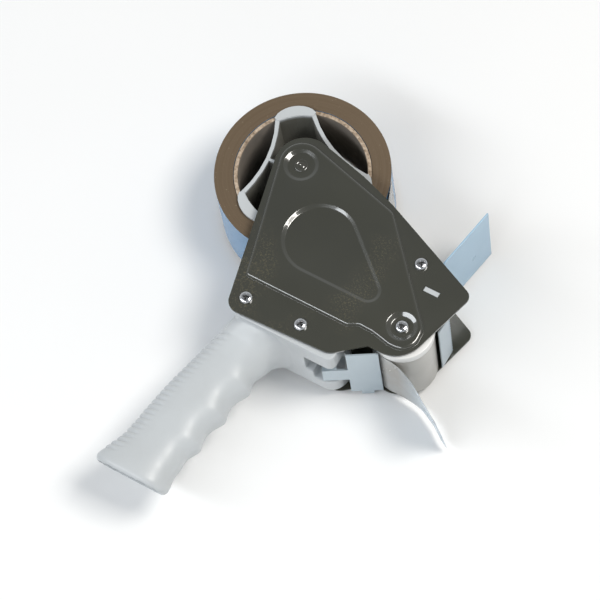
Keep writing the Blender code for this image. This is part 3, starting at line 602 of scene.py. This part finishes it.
def build_far_plate(look):
    """Stamped towards the outside, so it is drawn upside down and turned over."""
    cut = [(x, y, 0) for x, y in arc(HUB, FULL_ROLL_R, -14, -84, 4)]
    outline = rounded([(6.0, -94.0, 7.0), (73.6, -94.0, 10.0)] + nose_corners(126.4)
                      + [(86.0, -8.1, 6.0)] + cut, 5)
    inner = [(x, y, 0) for x, y in arc(HUB, FULL_ROLL_R + 6, -29, -64, 4)]
    foot = rounded([(36.5, -79.3, 2.0), (76.0, -79.3, 4.0), (82.0, -76.0, 5.0), (101.0, -76.2, 12.0),
                    (115.0, -74.0, 10.0), (116.0, -52.0, 6.0), (86.0, -33.0, 3.0)] + inner, 10)
    outer = -FAR_FACE
    bands = pressed(foot, 1.9, outer, outer + FAR_EMBOSS, DISH)
    bands += pressed(circle(ROLLER, ROLLER_DISH_R), 2.0, outer + FAR_EMBOSS, outer, DISH)
    holes = [(loop, outer) for loop in screw_holes() + [rectangle(SLOT, SLOT_SIZE)]]
    bm = stamped((outline, outer), bands, holes, SHEET)
    bmesh.ops.scale(bm, vec=(1, 1, -1), verts=bm.verts)
    bmesh.ops.reverse_faces(bm, faces=bm.faces)
    plate = add_piece("far_plate_pressing", bm, look, "frame", ["far_side_plate"], smooth=50)
    soften(plate, 0.3, 2, 60)


# Handle

ARM_TOP, ARM_BOTTOM = -77.0, -98.5
ARM_BACK, ARM_FRONT = 6.5, 76.5
FAR_ROUNDING = 8.5
GRIP_MIDDLE = NEAR_FACE - 29.5
GRIP_WALL = 2.6
BACK_LINE = [(-90.0, 8.5), (-97.0, 7.0), (-104.0, 5.1), (-122.0, -0.1), (-145.4, -6.2), (-162.5, -9.4),
             (-184.7, -13.0), (-194.0, -16.6), (-204.0, -20.4)]
FRONT_LINE = [(-90.0, 52.0), (-97.0, 48.5), (-104.0, 40.6), (-116.0, 37.0), (-145.4, 32.3), (-182.5, 26.2),
              (-194.0, 24.9), (-204.0, 26.0)]
GRIP_THICKNESS = [(-90.0, 27.5), (-98.0, 25.5), (-108.0, 20.0), (-122.0, 16.0), (-140.0, 14.3),
                  (-185.0, 13.8), (-204.0, 14.6)]
FINGER_PITCH = 21.8
FINGER_TOP = -128.0
FINGER_HEIGHT = 1.7
END_SLANT = 0.19            # the far side of the open end is shorter than the near side
RIDGE_PITCH = 3.6
RIDGE_TOP, RIDGE_BOTTOM = -104.0, -200.5
RIDGE_HEIGHT = 1.2
RIDGE_REACH = 12.0


def smooth_value(line, at):
    """Reads a smooth curve through (position, value) points, in falling order of position."""
    at = min(max(at, line[-1][0]), line[0][0])
    k = next(i for i in range(len(line) - 1) if at >= line[i + 1][0])
    (p0, v0), (p1, v1) = line[k], line[k + 1]
    before = line[k - 1] if k > 0 else line[k]
    beyond = line[k + 2] if k + 2 < len(line) else line[k + 1]
    span = p1 - p0
    s0 = (v1 - before[1]) / (p1 - before[0]) * span
    s1 = (beyond[1] - v0) / (beyond[0] - p0) * span
    t = (at - p0) / span
    return ((2 * t ** 3 - 3 * t ** 2 + 1) * v0 + (t ** 3 - 2 * t ** 2 + t) * s0
            + (3 * t ** 2 - 2 * t ** 3) * v1 + (t ** 3 - t ** 2) * s1)


def finger_wave(y):
    """Crests between the fingers, with rounded scoops between them."""
    reach = min(1.0, max(0.0, (-110.0 - y) / 10), max(0.0, (y + 188.0) / 10))
    return FINGER_HEIGHT * reach * (1 - 2 * abs(math.sin(math.pi * (y - FINGER_TOP) / FINGER_PITCH)) ** 1.3)


def grip_ring(y, wall=0.0, sides=96):
    """Superellipse section of the grip. The last stretch leans with the slanted end."""
    back = smooth_value(BACK_LINE, y) + wall
    front = smooth_value(FRONT_LINE, y) - wall
    half_x, half_z = (front - back) / 2, smooth_value(GRIP_THICKNESS, y) - wall
    lean = END_SLANT * min(1.0, max(0.0, (-185.0 - y) / 20))
    ring = []
    for i in range(sides):
        c, s = math.cos(2 * math.pi * i / sides), math.sin(2 * math.pi * i / sides)
        x = math.copysign(abs(c) ** 0.8, c) * half_x + finger_wave(y) * max(0.0, c) ** 0.8
        z = math.copysign(abs(s) ** 0.8, s) * half_z
        ring.append(((back + front) / 2 + x, y + lean * (half_z - z), GRIP_MIDDLE + z))
    return ring


def shrunk_ring(ring, amount, drop):
    """The end of the grip, pulled in by its edge rounding."""
    centre = sum((Vector(p) for p in ring), Vector()) / len(ring)
    out = []
    for p in ring:
        towards = centre - Vector(p)
        towards.y = 0
        out.append(Vector(p) + towards.normalized() * amount + Vector((0, -drop, 0)))
    return out


def grip_body():
    rings = [grip_ring(-90.0 - i) for i in range(116)]
    last = rings[-1]
    rings += [shrunk_ring(last, 0.25, 1.2), shrunk_ring(last, 0.9, 2.4), shrunk_ring(last, 2.0, 3.4)]
    return lofted(rings)


def grip_hollow():
    rings = [grip_ring(-92.0 - 2 * i, GRIP_WALL, 64) for i in range(57)]
    rings.append([Vector(p) + Vector((0, -12, 0)) for p in rings[-1]])
    return lofted(rings)


def arm_ring(level, lift, corner):
    """Section of the arm at one height, with its lower side raised by lift."""
    bottom = ARM_BOTTOM + lift
    heel = ARM_BACK + 0.16 * (ARM_TOP - bottom)
    outline = rounded([(ARM_BACK, ARM_TOP, 3.0), (heel, bottom, 8.0 - lift * 0.6),
                       (ARM_FRONT, bottom, corner), (ARM_FRONT, ARM_TOP, 3.0)])
    return [(x, y, level) for x, y in outline]


def arm_body():
    """The arm's lower side rounds over towards the far plate."""
    low, high = FAR_FACE + SHEET + 0.3, NEAR_FACE - SHEET - 0.3
    rings = []
    for degrees in range(0, 91, 9):
        c, s = math.cos(math.radians(degrees)), math.sin(math.radians(degrees))
        rings.append(arm_ring(low + FAR_ROUNDING * (1 - c), FAR_ROUNDING * (1 - s), 9.0))
    rings += [arm_ring(NEAR_FACE - 24, 0, 9.0), arm_ring(NEAR_FACE - 16, 0, 4.5), arm_ring(high, 0, 4.5)]
    return lofted(rings)


def ridge(x, y):
    """Height of the grip's back ridges, which taper away round its sides."""
    if not RIDGE_BOTTOM < y < RIDGE_TOP:
        return 0.0
    ends = soft_step((RIDGE_TOP - y) / 3) * soft_step((y - RIDGE_BOTTOM) / 3)
    reach = 1 - soft_step((x - smooth_value(BACK_LINE, y) - 6.0) / (RIDGE_REACH - 6.0))
    groove = (0.5 + 0.5 * math.cos(2 * math.pi * y / RIDGE_PITCH)) ** 3
    return RIDGE_HEIGHT * ends * reach * (0.2 - 0.8 * groove)


def on_outside(x, y, z):
    """1 on the grip's outer skin and 0 on the wall of its hollow."""
    across = (z - GRIP_MIDDLE) / 14.0
    along = (x - smooth_value(BACK_LINE, y) - 19.0) / 19.0
    return 1.0 if abs(along) ** 2.5 + abs(across) ** 2.5 > 0.86 else 0.0


def build_handle(look):
    """One moulding: arm, grip and pockets are joined, remeshed and smoothed, then ridged along the back."""
    arm = helper("handle_moulding", arm_body())
    arm.location = (HUB_AT.x, HUB_AT.y, 0)
    pocket = slab((29.2, -82.0), (17.5, 24.6), NEAR_FACE - 44, NEAR_FACE - 15)
    notch = slab((73.5, -94.5), (33, 19), NEAR_FACE - 32.3, NEAR_FACE - 16)
    deep_notch = slab((76.2, -95.0), (28.5, 19), NEAR_FACE - 40, NEAR_FACE - 30)
    cuts = [("grip", grip_body(), "UNION"), ("grip_hollow", grip_hollow(), "DIFFERENCE"),
            ("arm_pocket", pocket, "DIFFERENCE"), ("brake_notch", notch, "DIFFERENCE"),
            ("brake_notch_deep", deep_notch, "DIFFERENCE")]
    helpers = []
    for name, bm, operation in cuts:
        other = helper(name, bm)
        other.location = arm.location
        boolean = arm.modifiers.new(name, "BOOLEAN")
        boolean.object = other
        boolean.operation = operation
        helpers.append(other)
    remesh = arm.modifiers.new("remesh", "REMESH")
    remesh.mode = "VOXEL"
    remesh.voxel_size = 0.6 * MM
    smooth = arm.modifiers.new("smooth", "SMOOTH")
    smooth.factor = 0.5
    smooth.iterations = 10
    bpy.context.view_layer.update()
    mesh = bpy.data.meshes.new_from_object(arm.evaluated_get(bpy.context.evaluated_depsgraph_get()))
    arm.modifiers.clear()
    arm.data = mesh
    for other in helpers:
        bpy.data.objects.remove(other)
    moves = []
    for vert, normal in zip(mesh.vertices, mesh.vertex_normals):
        x, y, z = vert.co / MM
        moves.append(normal.vector * (ridge(x, y) * on_outside(x, y, z) * MM))
    for vert, move in zip(mesh.vertices, moves):
        vert.co += move
    mesh.shade_smooth()
    mesh.materials.clear()
    mesh.materials.append(look)
    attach(arm, "frame")
    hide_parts("handle")


# Screws

def cross_recess():
    """Tapered cross of a screwdriver recess, pointing down from z = 0.6."""
    bm = bmesh.new()
    rings = []
    for z, reach, half in ((0.6, 2.6, 0.62), (-1.3, 1.3, 0.35)):
        corners = [(reach, -half), (reach, half), (half, half), (half, reach), (-half, reach),
                   (-half, half), (-reach, half), (-reach, -half), (-half, -half), (-half, -reach),
                   (half, -reach), (half, -half)]
        rings.append([bm.verts.new((x, y, z)) for x, y in corners])
    for i in range(12):
        j = (i + 1) % 12
        bm.faces.new([rings[0][i], rings[0][j], rings[1][j], rings[1][i]])
    bm.faces.new(rings[0])
    bm.faces.new(rings[1])
    bmesh.ops.recalc_face_normals(bm, faces=bm.faces)
    return bm


def screw_mesh():
    side = 0.9
    profile = [(0, -10), (1.2, -10), (1.6, -9), (1.6, 0), (HEAD_R - 0.2, 0), (HEAD_R, 0.2),
               (HEAD_R, side - 0.2)]
    for lift in range(8, 90, 9):
        angle = math.radians(lift)
        profile.append((HEAD_R * math.cos(angle) ** 0.7, side + (HEAD_HEIGHT - side) * math.sin(angle)))
    cross = cross_recess()
    bmesh.ops.translate(cross, vec=(0, 0, HEAD_HEIGHT), verts=cross.verts)
    head = helper("screw_head", turned(profile + [(0, HEAD_HEIGHT)], 48))
    cutter = helper("screw_recess", cross)
    cut = head.modifiers.new("recess", "BOOLEAN")
    cut.object = cutter
    cut.solver = "EXACT"
    bevel = head.modifiers.new("edges", "BEVEL")
    bevel.width = 0.08 * MM
    bevel.segments = 2
    bevel.limit_method = "ANGLE"
    bevel.angle_limit = math.radians(45)
    mesh = bpy.data.meshes.new_from_object(head.evaluated_get(bpy.context.evaluated_depsgraph_get()))
    for obj in (head, cutter):
        bpy.data.objects.remove(obj)
    shade(mesh, 40)
    return mesh


# Dark plating for the cross recesses: painted shade for the shadow down in the recess.
def shaded_recess():
    look = Look("recess_shade", (0.05, 0.05, 0.05), 0.4, 0.6)
    grime = look.noise(900, 4)
    look.drive("Base Color", look.ramp(grime, (0.3, (0.03, 0.03, 0.03)), (0.7, (0.12, 0.12, 0.12))))
    look.bump(look.noise(1500, 2), 0.01, 0.4)
    return look.material


def build_screws(look):
    master = screw_mesh()
    master.materials.append(look)
    master.materials.append(shaded_recess())
    # faces down in the cross recess take the painted shade
    for face in master.polygons:
        centre, side = face.center / MM, face.normal.xy.length
        if centre.xy.length < 2.6 and centre.z > 0.6 and (side > 0.85 or centre.z < 1.6):
            face.material_index = 1
    angles = {"rear": 20, "grip": 62, "roller": 8, "front": 41}
    for place, turn in angles.items():
        for side in ("near", "far"):
            node = f"{side}_screw_{place}"
            low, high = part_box(node)
            obj = bpy.data.objects.new(node + "_pan_head", master)
            bpy.context.scene.collection.objects.link(obj)
            spin = Matrix.Rotation(math.radians(turn), 4, "Z")
            if side == "near":
                seat = Vector(((low[0] + high[0]) / 2, (low[1] + high[1]) / 2, high[2] - HEAD_HEIGHT * MM))
                obj.matrix_world = Matrix.Translation(seat) @ spin
            else:
                seat = Vector(((low[0] + high[0]) / 2, (low[1] + high[1]) / 2, low[2] + HEAD_HEIGHT * MM))
                obj.matrix_world = Matrix.Translation(seat) @ Matrix.Rotation(math.pi, 4, "X") @ spin
            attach(obj, "frame")
            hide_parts(node)


# Roll, core and loose tape

def build_roll(film, card):
    """Wound tape with small steps between its turns, on a cardboard core with rounded edges."""
    rng = random.Random(4)
    rings = 24
    edge = []
    for i in range(rings + 1):
        step = rng.uniform(0.0, 0.14) if 0 < i < rings else 0.05
        edge.append((CORE_R + 0.3 + (ROLL_R - CORE_R - 0.3) * i / rings, step))
    profile = [(r, ROLL_LOW + step) for r, step in edge]
    profile += [(r, ROLL_HIGH - step) for r, step in reversed(edge)]
    add_piece("wound_tape_roll", turned(profile, 128), film, "hub_and_roll", ["tape_roll"],
              smooth=60)
    lip = 0.35
    core = [(CORE_BORE_R, ROLL_LOW + lip), (CORE_BORE_R + lip, ROLL_LOW), (CORE_R - lip, ROLL_LOW),
            (CORE_R, ROLL_LOW + lip), (CORE_R, ROLL_HIGH - lip), (CORE_R - lip, ROLL_HIGH),
            (CORE_BORE_R + lip, ROLL_HIGH), (CORE_BORE_R, ROLL_HIGH - lip)]
    add_piece("cardboard_core", turned(core, 128), card, "hub_and_roll", ["tape_core"],
              smooth=50)


TAIL_NEAR = [(107.2, -80.3), (119.5, -84.6), (129.9, -91.3), (140.5, -98.2)]
TAIL_FAR = [(108.0, -79.7), (121.5, -81.4), (134.0, -87.4), (147.2, -95.6)]
STRIP = 0.3


def tape_path():
    """Middle line of the strip, tangent to the roll and then round the roller."""
    roll_r, roller_r = ROLL_R + 0.3 + STRIP / 2, ROLLER_R + 0.3 + STRIP / 2
    span = math.dist(HUB, ROLLER)
    run = math.degrees(math.atan2(ROLLER[1], ROLLER[0]))
    lean = math.degrees(math.acos((roll_r + roller_r) / span))
    leave = run + lean
    land = leave + 180
    start, stop = Vector(polar(HUB, roll_r, leave)), Vector(polar(ROLLER, roller_r, land))
    straight = [tuple(start.lerp(stop, i / 12)) for i in range(12)]
    return straight + arc(ROLLER, roller_r, land, 270, 4)


def smooth_tail(start, tail, steps=5):
    """Curve from the end of the roller wrap through the tail's points, with steps between each two."""
    points = [Vector(start[-2]), Vector(start[-1])] + [Vector(p) for p in tail]
    points.append(points[-1] * 2 - points[-2])
    out = []
    for k in range(1, len(points) - 2):
        p0, p1, p2, p3 = points[k - 1:k + 3]
        for i in range(steps):
            t = (i + 1) / steps
            out.append(tuple(0.5 * ((2 * p1) + (p2 - p0) * t + (2 * p0 - 5 * p1 + 4 * p2 - p3) * t ** 2
                                    + (3 * p1 - p0 - 3 * p2 + p3) * t ** 3)))
    return out


def build_strip(film):
    """Loose tape as a thin sheet whose free end curls a little from edge to edge."""
    low, high = ROLL_LOW + 0.2, ROLL_HIGH - 0.2
    wrap = tape_path()
    near = wrap + smooth_tail(wrap, TAIL_NEAR)
    far = wrap + smooth_tail(wrap, TAIL_FAR)
    columns = 24
    free = len(wrap)
    bm = bmesh.new()
    grid = []
    for k, (n, f) in enumerate(zip(near, far)):
        row = []
        loose = soft_step((k - free) / 8)
        for c in range(columns + 1):
            t = c / columns
            point = Vector(n).lerp(Vector(f), t)
            ripple = noise.noise(Vector((k * 0.35, c * 0.22, 3.0))) * 0.7 + math.sin(t * math.pi) * 0.9
            row.append(bm.verts.new((point.x, point.y + loose * ripple, high + (low - high) * t)))
        grid.append(row)
    for a, b in zip(grid, grid[1:]):
        for c in range(columns):
            bm.faces.new([a[c], a[c + 1], b[c + 1], b[c]])
    bmesh.ops.recalc_face_normals(bm, faces=bm.faces)
    bmesh.ops.solidify(bm, geom=bm.faces[:], thickness=0.15)
    add_piece("loose_tape", bm, film, "frame", ["tape_strip"], smooth=70)


def build_roller(look):
    """Hollow roller with rounded rims and a slightly wider near rim."""
    low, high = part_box("roller")[0][2] / MM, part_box("roller")[1][2] / MM
    rim, r = ROLLER_R + 0.5, ROLLER_R
    profile = [(7.3, high), (rim - 0.6, high), (rim - 0.17, high - 0.17), (rim, high - 0.6),
               (rim, high - 5.5), (rim - 0.12, high - 5.9), (r, high - 6.1), (r, low + 0.6),
               (r - 0.17, low + 0.17), (r - 0.6, low), (7.3, low), (7.3, low + 3), (r - 2.4, low + 3),
               (r - 2.4, high - 3), (7.3, high - 3)]
    add_piece("guide_roller", turned(profile, 96), look, "guide_roller", ["roller"],
              ROLLER, 40)


def build_hub_axle(look):
    """Stud whose head is riveted over nearly flush, with a ring struck round its centre mark."""
    seat = NEAR_FACE + EMBOSS - HUB_DISH_DEPTH
    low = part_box("hub_axle")[0][2] / MM
    profile = [(0, seat + 0.25), (0.5, seat + 0.35), (0.8, seat + 0.6), (1.7, seat + 0.65),
               (2.1, seat + 0.35), (2.4, seat + 0.35), (2.8, seat + 0.65), (3.6, seat + 0.6),
               (4.1, seat + 0.35), (4.2, seat + 0.05),
               (3.7, seat + 0.05), (3.7, seat - 1.5), (7.5, seat - 1.5), (7.5, seat - 3.7), (4.0, seat - 3.7),
               (4.0, NEAR_FACE - 47.5), (3.0, NEAR_FACE - 48), (3.0, low), (0, low)]
    add_piece("hub_axle_stud", turned(profile), look, "frame", ["hub_axle"], smooth=50)


# Carried-over CAD parts

def finish_cad_parts(looks):
    """Gives the remaining parts their materials and rounded edges."""
    groups = {
        "dark_paint": ("blade_bracket",),
        "grey_moulding": ("tension_knob", "wiper_holder"),
        "hub_moulding": ("tape_hub",),
        "roller_plastic": ("roller_bush_near", "roller_bush_far"),
        "bright_plating": ("bracket_screw_near", "bracket_screw_far", "wiper_rivet_near", "wiper_rivet_far"),
        "turned_steel": ("roller_axle", "front_spacer", "brake_pin", "tension_spring", "brake_spring",
                         "spring_washer"),
        "sheet_steel": ("blade", "wiper_clamp", "brake_flap"),
        "fibre": ("friction_washer",),
        "wiper_film": ("wiper_flap",),
    }
    widths = {"tape_hub": 0.35, "tension_knob": 0.5, "wiper_flap": 0.15, "brake_flap": 0.2, "blade": 0.0,
              "blade_bracket": 0.25, "wiper_holder": 0.25}
    for look, names in groups.items():
        for name in names:
            obj = NODES[name]
            obj.data.materials.clear()
            obj.data.materials.append(looks[look])
            width = widths.get(name, 0.1)
            if width:
                soften(obj, width)


# Studio and camera

VIEW_AIM = (41.91, -73.90)
VIEW_DISTANCE = 2000.5
VIEW_AZIMUTH, VIEW_ELEVATION, VIEW_ROLL = -49.29, 65.94, -11.59


def add_floor():
    mesh = bpy.data.meshes.new("floor")
    bm = bmesh.new()
    bmesh.ops.create_grid(bm, x_segments=1, y_segments=1, size=6.0)
    bm.to_mesh(mesh)
    bm.free()
    look = Look("pale_floor", (0.86, 0.86, 0.86), 0.9)
    patches = look.noise(3, 2)
    look.drive("Base Color", look.ramp(patches, (0.3, (0.90, 0.90, 0.90)), (0.7, (0.93, 0.93, 0.93))))
    mesh.materials.append(look.material)
    floor = bpy.data.objects.new("floor", mesh)
    floor.location = (0, 0, -0.0003)
    bpy.context.scene.collection.objects.link(floor)


def add_light(name, at, size, power, colour, along=(1, 0, 0)):
    """Softbox that faces the gun, with its long side near the direction given."""
    light = bpy.data.lights.new(name, "AREA")
    light.shape = "RECTANGLE"
    light.size, light.size_y = size
    light.energy = power
    light.color = colour
    obj = bpy.data.objects.new(name, light)
    back = Vector(at).normalized()
    right = (Vector(along) - back * back.dot(Vector(along))).normalized()
    turn = Matrix((right, back.cross(right), back)).transposed().to_4x4()
    obj.matrix_world = Matrix.Translation(at) @ turn
    bpy.context.scene.collection.objects.link(obj)


def add_studio():
    """Pale at the horizon and darker overhead, so that flat glossy faces stay dark and sloping ones shine."""
    world = bpy.data.worlds.new("studio")
    world.use_nodes = True
    nodes, links = world.node_tree.nodes, world.node_tree.links
    split = nodes.new("ShaderNodeSeparateXYZ")
    links.new(nodes.new("ShaderNodeTexCoord").outputs["Generated"], split.inputs[0])
    fade = nodes.new("ShaderNodeMapRange")
    fade.inputs["To Min"].default_value = 0.6
    fade.inputs["To Max"].default_value = 0.2
    links.new(split.outputs["Z"], fade.inputs["Value"])
    background = nodes["Background"]
    background.inputs["Color"].default_value = (0.95, 0.98, 1.0, 1)
    links.new(fade.outputs["Result"], background.inputs["Strength"])
    bpy.context.scene.world = world
    add_light("front_softbox", (-0.50, -0.87, 1.15), (1.9, 0.3), 12, (0.92, 0.96, 1.0), (1.8, -0.43, 0.45))
    add_light("key_softbox", (0.77, 0.45, 1.68), (0.7, 0.7), 21, (1.0, 0.97, 0.92))


def add_camera():
    """Long lens, looking down on a point in the near plate's plane from over the handle's front."""
    data = bpy.data.cameras.new("camera")
    data.lens = 210
    data.sensor_width = 36
    data.clip_end = 20
    camera = bpy.data.objects.new("camera", data)
    aim = HUB_AT.xy.to_3d() + Vector((*VIEW_AIM, NEAR_FACE)) * MM
    turn = Matrix.Rotation(math.radians(VIEW_AZIMUTH + 90), 4, "Z")
    turn @= Matrix.Rotation(math.radians(90 - VIEW_ELEVATION), 4, "X")
    turn @= Matrix.Rotation(math.radians(VIEW_ROLL), 4, "Z")
    camera.matrix_world = Matrix.Translation(aim) @ turn @ Matrix.Translation((0, 0, VIEW_DISTANCE * MM))
    bpy.context.scene.collection.objects.link(camera)
    bpy.context.scene.camera = camera


def build_gun():
    looks = {"dark_paint": dark_paint(), "grey_moulding": grey_moulding(), "roller_plastic": roller_plastic(),
             "bright_plating": bright_plating(), "turned_steel": plain_steel("turned_steel", (1, 1, 0.05)),
             "sheet_steel": plain_steel("sheet_steel", (1, 1, 0.04), 0.55), "fibre": fibre(),
             "hub_moulding": hub_moulding(), "wiper_film": wiper_film()}
    build_near_plate(looks["dark_paint"])
    build_far_plate(dark_paint("dark_paint_inside", 0.15))
    build_handle(looks["grey_moulding"])
    build_screws(looks["bright_plating"])
    build_roll(wound_tape(), kraft_card())
    build_strip(tape_film())
    build_roller(looks["roller_plastic"])
    build_hub_axle(looks["dark_paint"])
    finish_cad_parts(looks)


add_camera()
add_studio()
add_floor()
build_gun()
bpy.context.scene.view_settings.view_transform = "Standard"
bpy.context.view_layer.update()
